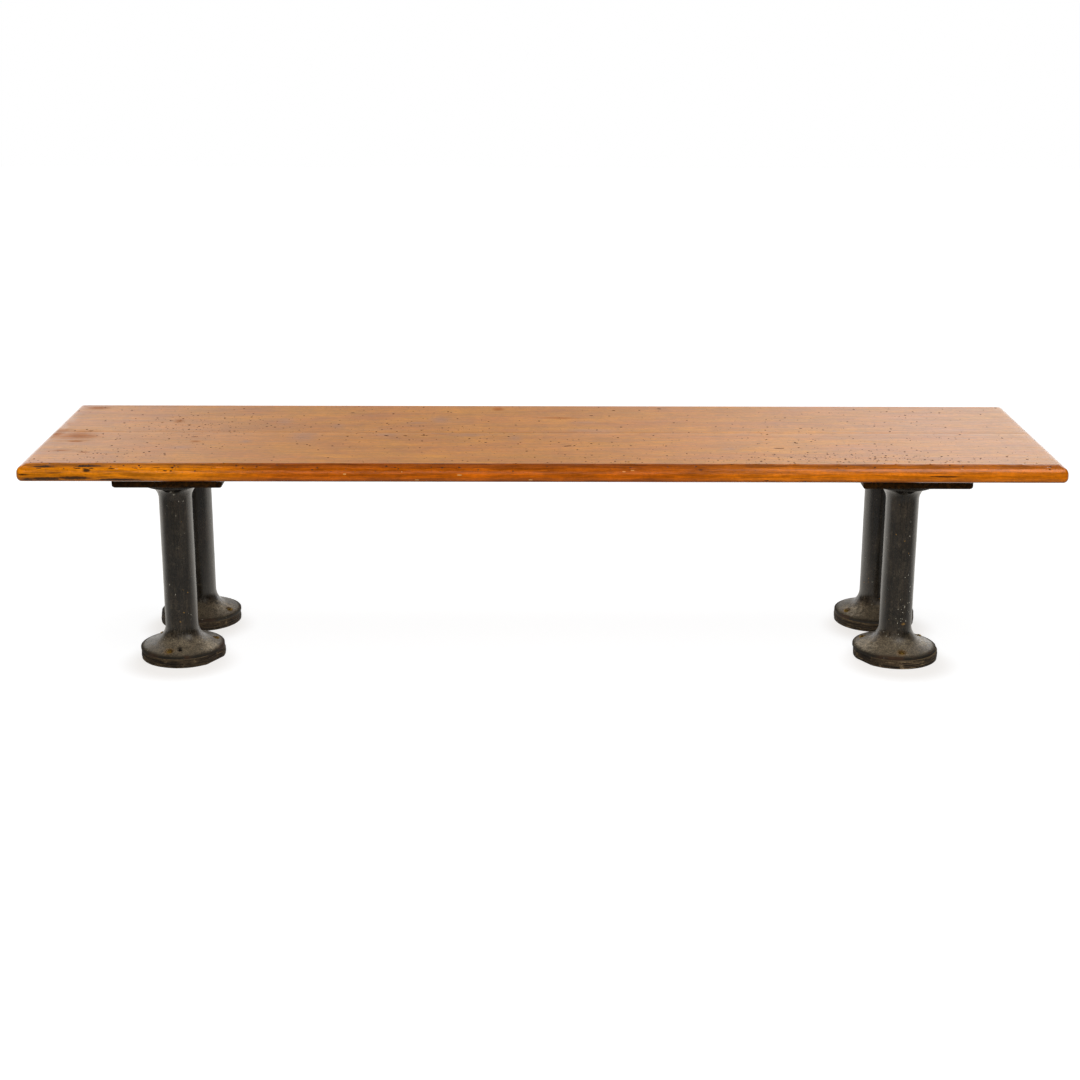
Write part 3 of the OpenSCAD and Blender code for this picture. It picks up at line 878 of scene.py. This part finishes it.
def casting_tree():
    """Turns a section about an axis, roughens it like a sand casting, then cuts the screw seats."""
    tree, given = geometry_tree("sand casting", {
        "Segments": "Int", "Centre": "Vector", "Height": "Float", "Lumps": "Float",
        "Seam": "Float", "Foot screws": "Object", "Foot seat radius": "Float",
        "Top screws": "Object", "Pocket radius": "Float", "Spare holes": "Object",
        "Spare radius": "Float", "Iron": "Material", "Grime and shade": "Material"})
    # A flat grid is wound round the axis, with the section's points as its rows
    section = given["Geometry"]
    count = put(tree, "GeometryNodeAttributeDomainSize", {"Geometry": section}).outputs["Point Count"]
    sheet = put(tree, "GeometryNodeMeshGrid", {
        "Size X": 1.0, "Size Y": 1.0, "Vertices Y": count,
        "Vertices X": calc(tree, "ADD", given["Segments"], 1)})
    place = put(tree, "GeometryNodeInputPosition").outputs[0]
    across, up = parts(tree, place)[:2]
    turn = calc(tree, "MULTIPLY", calc(tree, "ADD", across, 0.5), 2 * math.pi)
    index = calc(tree, "MULTIPLY", calc(tree, "ADD", up, 0.5), calc(tree, "SUBTRACT", count, 1))
    index = put(tree, "FunctionNodeFloatToInt", {0: index}, rounding_mode="ROUND").outputs[0]
    taken = put(tree, "GeometryNodeSampleIndex", {
        "Geometry": section, "Index": index, "Value": place}, data_type="FLOAT_VECTOR", domain="POINT")
    radius, _, level = parts(tree, taken.outputs[0])
    turned = put(tree, "ShaderNodeCombineXYZ", {
        "X": calc(tree, "MULTIPLY", radius, calc(tree, "COSINE", turn)),
        "Y": calc(tree, "MULTIPLY", radius, calc(tree, "SINE", turn)), "Z": level})
    lathe = put(tree, "GeometryNodeSetPosition", {
        "Geometry": sheet.outputs["Mesh"], "Position": turned.outputs[0]})
    closed = put(tree, "GeometryNodeMergeByDistance", {
        "Geometry": lathe.outputs[0], "Distance": weld_gap})

    # Lumps and the mould's seam fade out at the two flat faces
    _, sideways, level = parts(tree, place)
    half = calc(tree, "MULTIPLY", given["Height"], 0.5)
    to_face = calc(tree, "SUBTRACT", half, calc(tree, "ABSOLUTE", calc(tree, "SUBTRACT", level, half)))
    lumps = grain(tree, on_vector(tree, "ADD", place, given["Centre"]), lump_scale, 3, 0.5)
    lumps = calc(tree, "MULTIPLY", calc(tree, "SUBTRACT", lumps, lump_middle), given["Lumps"])
    on_seam = ramp(tree, calc(tree, "ABSOLUTE", sideways), *seam_half, 1.0, 0.0)
    relief = calc(tree, "MULTIPLY_ADD", on_seam, given["Seam"], lumps)
    relief = calc(tree, "MULTIPLY", relief, ramp(tree, to_face, *smooth_faces))
    push = on_vector(tree, "SCALE", put(tree, "GeometryNodeInputNormal").outputs[0], relief)
    cast = put(tree, "GeometryNodeSetPosition", {"Geometry": closed.outputs[0], "Offset": push})
    leg = put(tree, "GeometryNodeTransform", {
        "Geometry": coated(tree, cast.outputs[0], given["Iron"]),
        "Translation": given["Centre"]}).outputs[0]

    # The top-screw pockets and the spare hole take the grime material: dirt and painted shade inside the
    # holes
    for places, cutter_r, depth, material, rise in (
            ("Foot screws", "Foot seat radius", cutter_h, "Iron", cutter_h / 2),
            ("Top screws", "Pocket radius", cutter_h, "Grime and shade", -cutter_h / 2),
            ("Spare holes", "Spare radius", 2 * cutter_h, "Grime and shade", 0.0)):
        cutter = coated(tree, cylinder(tree, cutter_sides, given[cutter_r], depth), given[material])
        leg = cut_at_points(tree, leg, given[places], raised(tree, cutter, rise))

    screws = put(tree, "GeometryNodeObjectInfo", {"Object": given["Foot screws"]})
    near = put(tree, "GeometryNodeProximity", {
        "Geometry": screws.outputs["Geometry"]}, target_element="POINTS")
    marked = put(tree, "GeometryNodeStoreNamedAttribute", {
        "Geometry": leg, "Name": "screw_gap", "Value": near.outputs["Distance"]},
        data_type="FLOAT", domain="POINT")
    return ended(tree, realized(tree, marked.outputs[0]))


iron_dark = colour(33, 28, 20)
iron_grey = colour(48, 41, 32)
dust = colour(124, 112, 92)
dust_pale = colour(212, 196, 168)
hole_shade_black = colour(12, 9, 7)
rust = colour(70, 46, 28)
rust_pale = colour(132, 104, 66)
paint_fleck = colour(196, 190, 172)
fleck_ochre = colour(156, 118, 60)
# Places on the legs, each with its middle and half sizes in mm: a spray of small flecks
# low on the front right column, where dust lies thickest on the base flanges, painted
# shade round the spare hole that makes its dark opening look wider, and pale and ochre
# marks on the front of the columns
sprayed = [(680, -125, 150, 24, 50, 100), (664, -128, 90, 26, 50, 45)]
dusty_places = [
    (592, -112, 30, 34, 50, 20), (708, -102, 30, 26, 40, 20), (598, 74, 30, 36, 40, 20),
    (-614, 84, 30, 32, 40, 20), (-608, -128, 30, 26, 34, 20),
]
spare_hole_shade = [(-664, -155, 25, 10, 15, 20)]
pale_marks = [
    (-663, -131, 276, 1.6, 10, 1.6), (-650, -127, 242, 1.4, 10, 1.4), (-669, -136, 323, 5, 20, 2.4),
    (-664, -136, 317, 4, 20, 3), (666, -130, 104, 1.8, 10, 5), (-590, -131, 26, 5, 20, 2),
]
ochre_marks = [
    (-658, -131, 91, 2.6, 10, 2.4), (-665, -134, 74, 3, 10, 2.6), (659, -131, 231, 2.4, 10, 2.4),
    (666, -135, 71, 7, 20, 5),
]


def cast_iron():
    """Bare dark iron with dust on its upper faces, rust at its screws and flecks of paint."""
    material, tree, place = new_material("old_cast_iron")
    level = parts(tree, place)["Z"]
    upward = parts(tree, put(tree, "ShaderNodeNewGeometry").outputs["Normal"])["Z"]
    cloud = grain(tree, place, 22.0, 5, 0.6)
    mottle = grain(tree, place, 120.0, 6, 0.7)
    grit = grain(tree, place, 900.0, 3, 0.6)
    speck = grain(tree, place, 400.0, 4, 0.75)
    run = grain(tree, place, (70, 70, 9), 5, 0.62)
    thin_run = grain(tree, place, (260, 260, 14), 4, 0.6)
    tone = mix_colour(tree, ramp(tree, cloud, 0.35, 0.65), iron_dark, iron_grey)
    tone = mix_colour(tree, ramp(tree, mottle, 0.5, 0.75, 0.0, 0.20), tone, dust)
    tone = dimmed(tree, tone, run, 0.32, 0.68, 0.72, 1.28)
    tone = dimmed(tree, tone, thin_run, 0.36, 0.64, 0.74, 1.26)

    settled = ramp(tree, calc(tree, "MULTIPLY_ADD", mottle, 0.5, upward), 0.50, 1.15)
    settled = calc(tree, "MULTIPLY", settled, ramp(tree, mottle, 0.3, 0.6, 0.45, 1.0))
    thick = blots(tree, place, dusty_places, calc(tree, "MULTIPLY_ADD", mottle, 1.6, -0.8), 0.6)
    tone = cover(tree, tone, settled, 0.85, cover(tree, dust, thick, 0.85, dust_pale))
    tone = dimmed(tree, tone, speck, 0.40, 0.60, 0.55, 1.55)

    rim_top = pad_top + base_rim
    at_rim = ramp(tree, level, rim_top - 0.5 * MM, rim_top + 2.6 * MM, 1.0, 0.0)
    tone = cover(tree, tone, at_rim, 0.75, iron_dark)
    tone = cover(tree, tone, at_rim, ramp(tree, cloud, 0.5, 0.65, 0.0, 0.7), rust)
    gap = put(tree, "ShaderNodeAttribute", attribute_name="screw_gap").outputs["Fac"]
    halo = ramp(tree, calc(tree, "MULTIPLY_ADD", mottle, -10 * MM, gap), 1 * MM, 8 * MM, 1.0, 0.0)
    tone = cover(tree, tone, halo, 0.6, rust_pale)

    def flecks(scale, above, rarity, spread, least):
        """A mask of round flecks in a share of the cells, and each cell's third lot."""
        cells = put(tree, "ShaderNodeTexVoronoi", {"Vector": place, "Scale": scale, "Randomness": 1.0})
        lots = put(tree, "ShaderNodeSeparateColor", {0: cells.outputs["Color"]}).outputs
        size = calc(tree, "MULTIPLY_ADD", calc(tree, "POWER", lots[1], rarity), spread, least)
        inside = calc(tree, "LESS_THAN", cells.outputs["Distance"], size)
        return calc(tree, "MULTIPLY", calc(tree, "GREATER_THAN", lots[0], above), inside), lots[2]

    low_down = ramp(tree, level, 0.05, 0.30, 0.915, 0.965)
    fleck, lot = flecks(280.0, low_down, 3.0, 0.26, 0.07)
    fleck_tone = mix_colour(tree, calc(tree, "GREATER_THAN", lot, 0.8), paint_fleck, fleck_ochre)
    tone = cover(tree, tone, fleck, 0.85, fleck_tone)
    thinned = calc(tree, "MULTIPLY_ADD", blots(tree, place, sprayed, 0.0, 0.5), -0.26, 1.0)
    tone = cover(tree, tone, flecks(330.0, thinned, 2.0, 0.32, 0.12)[0], 0.9, paint_fleck)
    ragged = calc(tree, "MULTIPLY_ADD", grit, 1.2, -0.6)
    # Pale and ochre marks, and painted shade round the spare hole
    for marks, mark_tone, share in (
            (pale_marks, paint_fleck, 0.6), (ochre_marks, fleck_ochre, 0.8), (spare_hole_shade, hole_shade_black, 0.9)):
        tone = cover(tree, tone, blots(tree, place, marks, ragged, 0.2), share, mark_tone)

    bumps = calc(tree, "MULTIPLY_ADD", mottle, 0.7, calc(tree, "MULTIPLY", grit, 0.3))
    bumps = calc(tree, "MULTIPLY_ADD", fleck, 0.4, bumps)
    rough = calc(tree, "MULTIPLY_ADD", settled, 0.22, 0.28)
    rough = calc(tree, "MULTIPLY_ADD", at_rim, 0.50, rough)
    rough = calc(tree, "ADD", rough, ramp(tree, thin_run, 0.3, 0.7, -0.05, 0.07))
    surfaced(tree, {"Base Color": tone, "Roughness": rough, "IOR": 1.65,
                    "Normal": bumpy(tree, bumps, 0.4, 0.4 * MM)})
    return material


def round_points(name, centre, radius, level, angles):
    """An object of points on a circle, at angles in degrees."""
    turns = [math.radians(a) for a in angles]
    return point_object(name, [
        (centre.x + radius * math.cos(a), centre.y + radius * math.sin(a), level) for a in turns])


iron = cast_iron()
# Near-black grime that is also painted shade, for the inside of the top-screw pockets and the spare hole
grime_and_shade = mottled("pocket_grime_and_shade", colour(14, 11, 9), colour(34, 28, 22), 500.0, 0.9)
casting = casting_tree()
section_points = leg_profile(leg_height)
section_edges = [(i, i + 1) for i in range(len(section_points) - 1)]
foot_points, top_points = {}, {}
for leg in legs:
    leg_low, leg_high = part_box("leg_" + leg)
    centre = Vector(((leg_low.x + leg_high.x) / 2, (leg_low.y + leg_high.y) / 2, pad_top))
    foot_points[leg] = round_points(
        "foot_screw_points_" + leg, centre, foot_circle_r, pad_top + foot_seat,
        [foot_turns[leg] + third for third in (0, 120, 240)])
    top_points[leg] = round_points(
        "top_screw_points_" + leg, centre, top_circle_r, leg_top - top_rim,
        [top_turns[leg] + half + swing for half in (0, 180) for swing in (-top_pair / 2, top_pair / 2)])
    spare = round_points(
        "spare_points", centre, spare_circle_r, pad_top,
        [foot_turns[leg] + spare_turn] if leg == "front_left" else [])
    section = bpy.data.meshes.new("section")
    section.from_pydata(section_points, section_edges, [])
    piece = run_tree("leg_casting_" + leg, section, casting, {
        "Segments": lathe_steps, "Centre": centre, "Height": leg_height, "Lumps": lump_height,
        "Seam": seam_height, "Foot screws": foot_points[leg],
        "Foot seat radius": (foot_head_d + seat_cut) / 2, "Top screws": top_points[leg],
        "Pocket radius": pocket_r, "Spare holes": spare, "Spare radius": spare_r,
        "Iron": iron, "Grime and shade": grime_and_shade})
    finish_piece(piece, "leg_" + leg)
    bpy.data.objects.remove(spare)


# Screws
# Round-head wood screws hold the base flanges to their pads and the top flanges to the
# cleats, and countersunk ones hold the cleats to the seat. All have a cross recess.
foot_screw_d = 5 * MM
foot_screw_len = foot_seat + 11 * MM
top_head_d = 9.5 * MM
top_screw_len = top_rim + 22 * MM
cleat_screw_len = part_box("cleat_left")[1].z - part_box("cleat_left")[0].z + 18 * MM
thread_pitch = 2.0 * MM
point_r = 0.2 * MM
point_lap = 0.01 * MM
# Parts of a head as shares of its diameter
head_rim = 0.2
head_rise = 0.34
recess_width = 0.14
recess_length = 0.56
recess_depth = 0.2
# Parts of a shank as shares of its diameter
core_share = 0.38
point_share = 1.2
bury_share = 0.3
thread_share = 0.12
shank_sides = 20
head_sides = 40


def screw_tree(sunk):
    """Builds one screw, head below Z = 0 and tip above, and sets a copy at each point."""
    tree, given = geometry_tree("sunk screw" if sunk else "round screw", {
        "Shank diameter": "Float", "Length": "Float", "Head diameter": "Float",
        "Pitch": "Float", "Tilt": "Vector", "Seed": "Int", "Plating": "Material"})
    shank, head = given["Shank diameter"], given["Head diameter"]
    core = calc(tree, "MULTIPLY", shank, core_share)
    tip = calc(tree, "MULTIPLY", shank, point_share)
    straight = calc(tree, "SUBTRACT", given["Length"], tip)
    bury = calc(tree, "MULTIPLY", shank, bury_share)
    rod_h = calc(tree, "ADD", straight, bury)
    rod_up = calc(tree, "SUBTRACT", calc(tree, "MULTIPLY", rod_h, 0.5), bury)
    rod = raised(tree, cylinder(tree, shank_sides, core, rod_h), rod_up)
    point = cone(tree, shank_sides, core, point_r, tip)
    point = raised(tree, point, calc(tree, "SUBTRACT", straight, point_lap))
    coil = put(tree, "GeometryNodeCurveSpiral", {
        "Resolution": shank_sides, "Rotations": calc(tree, "DIVIDE", straight, given["Pitch"]),
        "Start Radius": core, "End Radius": core, "Height": straight})
    ridge = put(tree, "GeometryNodeCurvePrimitiveCircle", {
        "Resolution": 3, "Radius": calc(tree, "MULTIPLY", shank, thread_share)})
    thread = put(tree, "GeometryNodeCurveToMesh", {
        "Curve": coil.outputs[0], "Profile Curve": ridge.outputs[0], "Fill Caps": True}).outputs[0]
    head_r = calc(tree, "MULTIPLY", head, 0.5)
    if sunk:
        sink = calc(tree, "MULTIPLY", calc(tree, "SUBTRACT", head, shank), 0.5)
        cap = cone(tree, head_sides, head_r, core, sink)
        face = 0.0
    else:
        rise = calc(tree, "MULTIPLY", head, head_rise)
        cap_h = head_rise - head_rim
        ball_r = calc(tree, "MULTIPLY", head, (0.25 + cap_h ** 2) / (2 * cap_h))
        ball = put(tree, "GeometryNodeMeshUVSphere", {"Segments": 64, "Rings": 48, "Radius": ball_r})
        ball = raised(tree, ball.outputs[0], calc(tree, "SUBTRACT", ball_r, rise))
        disc = cylinder(tree, head_sides, head_r, rise)
        disc = raised(tree, disc, calc(tree, "MULTIPLY", rise, -0.5))
        both = put(tree, "GeometryNodeMeshBoolean", operation="INTERSECT", solver="EXACT")
        tree.links.new(disc, both.inputs["Mesh 2"])
        tree.links.new(ball, both.inputs["Mesh 2"])
        cap = both.outputs[0]
        face = calc(tree, "MULTIPLY", rise, -1.0)
    wide = calc(tree, "MULTIPLY", head, recess_width)
    long = calc(tree, "MULTIPLY", head, recess_length)
    deep = calc(tree, "MULTIPLY", head, 2 * recess_depth)
    for size_x, size_y in ((long, wide), (wide, long)):
        size = put(tree, "ShaderNodeCombineXYZ", {"X": size_x, "Y": size_y, "Z": deep}).outputs[0]
        slot = raised(tree, put(tree, "GeometryNodeMeshCube", {"Size": size}).outputs[0], face)
        cap = put(tree, "GeometryNodeMeshBoolean", {"Mesh 1": cap, "Mesh 2": slot},
                  operation="DIFFERENCE", solver="EXACT").outputs[0]
    joined = put(tree, "GeometryNodeJoinGeometry")
    for piece in (cap, rod, point, thread):
        tree.links.new(piece, joined.inputs[0])
    spin = put(tree, "FunctionNodeRandomValue", {
        0: (0, 0, 0), 1: (0, 0, math.pi), "Seed": given["Seed"]}, data_type="FLOAT_VECTOR")
    copies = put(tree, "GeometryNodeInstanceOnPoints", {
        "Points": given["Geometry"], "Instance": joined.outputs[0],
        "Rotation": on_vector(tree, "ADD", given["Tilt"], spin.outputs[0])})
    return ended(tree, coated(tree, realized(tree, copies.outputs[0]), given["Plating"]))


def worn_metal(name, bright, dull, metallic, rough):
    """Metal with a plating that has dulled and rusted in spots."""
    material, tree, place = new_material(name)
    spots = grain(tree, place, 420.0, 5, 0.65)
    surfaced(tree, {
        "Base Color": mix_colour(tree, ramp(tree, spots, 0.42, 0.62), bright, dull),
        "Roughness": calc(tree, "MULTIPLY_ADD", spots, 0.35, rough),
        "Metallic": metallic, "Normal": bumpy(tree, spots, 0.3, 0.3 * MM)})
    return material


round_screws = screw_tree(False)
sunk_screws = screw_tree(True)
foot_kind = {
    "Shank diameter": foot_screw_d, "Length": foot_screw_len, "Head diameter": foot_head_d,
    "Pitch": thread_pitch, "Tilt": (math.pi, 0, 0),
    "Plating": worn_metal("yellow_zinc", colour(184, 150, 74), colour(96, 66, 34), 0.75, 0.3)}
top_kind = {
    "Shank diameter": foot_screw_d, "Length": top_screw_len, "Head diameter": top_head_d,
    "Pitch": thread_pitch, "Tilt": (0, 0, 0),
    "Plating": worn_metal("browned_plating", colour(92, 82, 62), colour(38, 31, 25), 0.5, 0.45)}
cleat_kind = {
    "Shank diameter": cleat_screw_d, "Length": cleat_screw_len, "Head diameter": cleat_head_d,
    "Pitch": thread_pitch, "Tilt": (0, 0, 0),
    "Plating": worn_metal("dull_steel", colour(150, 148, 144), colour(84, 74, 66), 0.9, 0.3)}


def set_screws(name, node, points, tree, kind, seed):
    """One group of like screws as one piece that stands for its node."""
    mesh = points.data
    bpy.data.objects.remove(points)
    finish_piece(run_tree(name, mesh, tree, {**kind, "Seed": seed}), node)


for number, leg in enumerate(legs):
    set_screws("base_screws_" + leg, "foot_screws_" + leg,
               foot_points[leg], round_screws, foot_kind, number)
    set_screws("flange_screws_" + leg, "top_screws_" + leg,
               top_points[leg], round_screws, top_kind, number + 4)
for number, side in enumerate(("left", "right")):
    set_screws("seat_screws_" + side, "cleat_screws_" + side,
               cleat_screw_points[side], sunk_screws, cleat_kind, number + 8)


# Foot pads
# A round of laminated board under each leg, sawn by hand, so that its layers stand out
# unevenly and two of the pads have a flat side. The edges are black with floor dirt.

# Heights between the layers in mm, then how far each layer stands back
ply_levels = (0, 4.0, 7.8, 12.0, 16.5)
ply_insets = {
    "front_left": (0.8, 0.0, 0.3, 1.6), "front_right": (0.6, 0.2, 0.0, 0.4),
    "back_left": (0.4, 0.0, 0.5, 0.9), "back_right": (0.9, 0.3, 0.0, 0.5),
}
ply_groove = 0.7
ply_gap = 0.35
ply_arris = 0.5
# The way that a sawn flat faces in degrees, and how far it is from the pad's middle in mm
sawn_flats = {"front_left": (-28, 72.5), "front_right": (-150, 74.0)}
flat_least_lean = 0.1
flat_follows = 0.6
outline_steps = 160
# The saw wandered by this much in mm, in slow waves and in faster ones that weigh less
outline_wander = 0.9
slow_waves = 1.7
quick_waves = 9
quick_share = 0.35
pad_dark = colour(31, 25, 19)
pad_brown = colour(77, 63, 46)
pad_bare = colour(150, 128, 96)


def layer_rings(insets):
    """The level, inset and layer of each ring of a pad's edge, upwards."""
    rings = []
    for layer, (bottom, top) in enumerate(zip(ply_levels, ply_levels[1:])):
        first = bottom + (ply_gap if layer else 0)
        last = top - (ply_gap if top != ply_levels[-1] else 0)
        stops = [(first, ply_arris), (first + ply_arris, 0.0), (last - ply_arris, 0.0), (last, ply_arris)]
        if last != top:
            stops += [(last, ply_groove + ply_arris), (top + ply_gap, ply_groove + ply_arris)]
        rings += [(level, inset + insets[layer], layer) for level, inset in stops]
    return rings


def pad_mesh(low, radius, insets, flat, seed):
    """A stack of glued layers with an uneven sawn outline, as one closed mesh."""
    centre = Vector((low.x + radius, low.y + radius, 0))
    made = bmesh.new()
    loops = []
    for level, inset, layer in layer_rings(insets):
        loop = []
        for step in range(outline_steps):
            turn = 2 * math.pi * step / outline_steps
            way = Vector((math.cos(turn), math.sin(turn), 0))
            slow = noise.noise(way * slow_waves + Vector((0, 0, seed * 5 + layer * 0.35)))
            quick = noise.noise(way * quick_waves + Vector((0, 0, seed * 9 + layer * 3 + level * 0.15)))
            reach = radius - inset * MM
            reach -= (max(0.0, slow) + quick_share * abs(quick)) * outline_wander * MM
            lean = math.cos(turn - math.radians(flat[0])) if flat else 0.0
            if lean > flat_least_lean:
                reach = min(reach, (flat[1] - flat_follows * inset) * MM / lean)
            loop.append(made.verts.new(centre + way * reach + Vector((0, 0, low.z + level * MM))))
        loops.append(loop)
    for below, above in zip(loops, loops[1:]):
        for i in range(outline_steps):
            j = (i + 1) % outline_steps
            made.faces.new((below[i], below[j], above[j], above[i]))
    made.faces.new(reversed(loops[0]))
    made.faces.new(loops[-1])
    return plain_mesh("pad", made)


def sawn_layers():
    """Dirty sawn edges of layered board, paler in patches, along the layers and at the top corner."""
    material, tree, place = new_material("laminated_board")
    bands = grain(tree, place, (18, 18, 900), 4, 0.6)
    layer_line = grain(tree, place, (26, 26, 420), 4, 0.6)
    cloud = grain(tree, place, 60.0, 5, 0.65)
    speck = grain(tree, place, 420.0, 4, 0.7)
    tone = mix_colour(tree, ramp(tree, bands, 0.40, 0.60), pad_dark, pad_brown)
    tone = mix_colour(tree, ramp(tree, layer_line, 0.56, 0.66, 0.0, 0.55), tone, pad_bare)
    tone = mix_colour(tree, ramp(tree, cloud, 0.56, 0.74, 0.0, 0.6), tone, pad_bare)
    tone = mix_colour(tree, ramp(tree, cloud, 0.30, 0.46, 0.8, 0.0), tone, pad_dark)
    ledge = ramp(tree, parts(tree, place)["Z"], 15.2 * MM, 16.4 * MM)
    tone = cover(tree, tone, ledge, 0.45, pad_bare)
    tone = dimmed(tree, tone, speck, 0.36, 0.64, 0.62, 1.42)
    relief = calc(tree, "MULTIPLY_ADD", bands, 0.6, calc(tree, "MULTIPLY", cloud, 0.4))
    surfaced(tree, {
        "Base Color": tone, "Roughness": 0.75, "Normal": bumpy(tree, relief, 0.5, 0.8 * MM)})
    return material


layers = sawn_layers()
for number, leg in enumerate(legs):
    pad_low, pad_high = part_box("foot_pad_" + leg)
    radius = (pad_high - pad_low).x / 2
    mesh = pad_mesh(pad_low, radius, ply_insets[leg], sawn_flats.get(leg), number)
    mesh.materials.append(layers)
    finish_piece(add_object("pad_" + leg, mesh), "foot_pad_" + leg, 25)
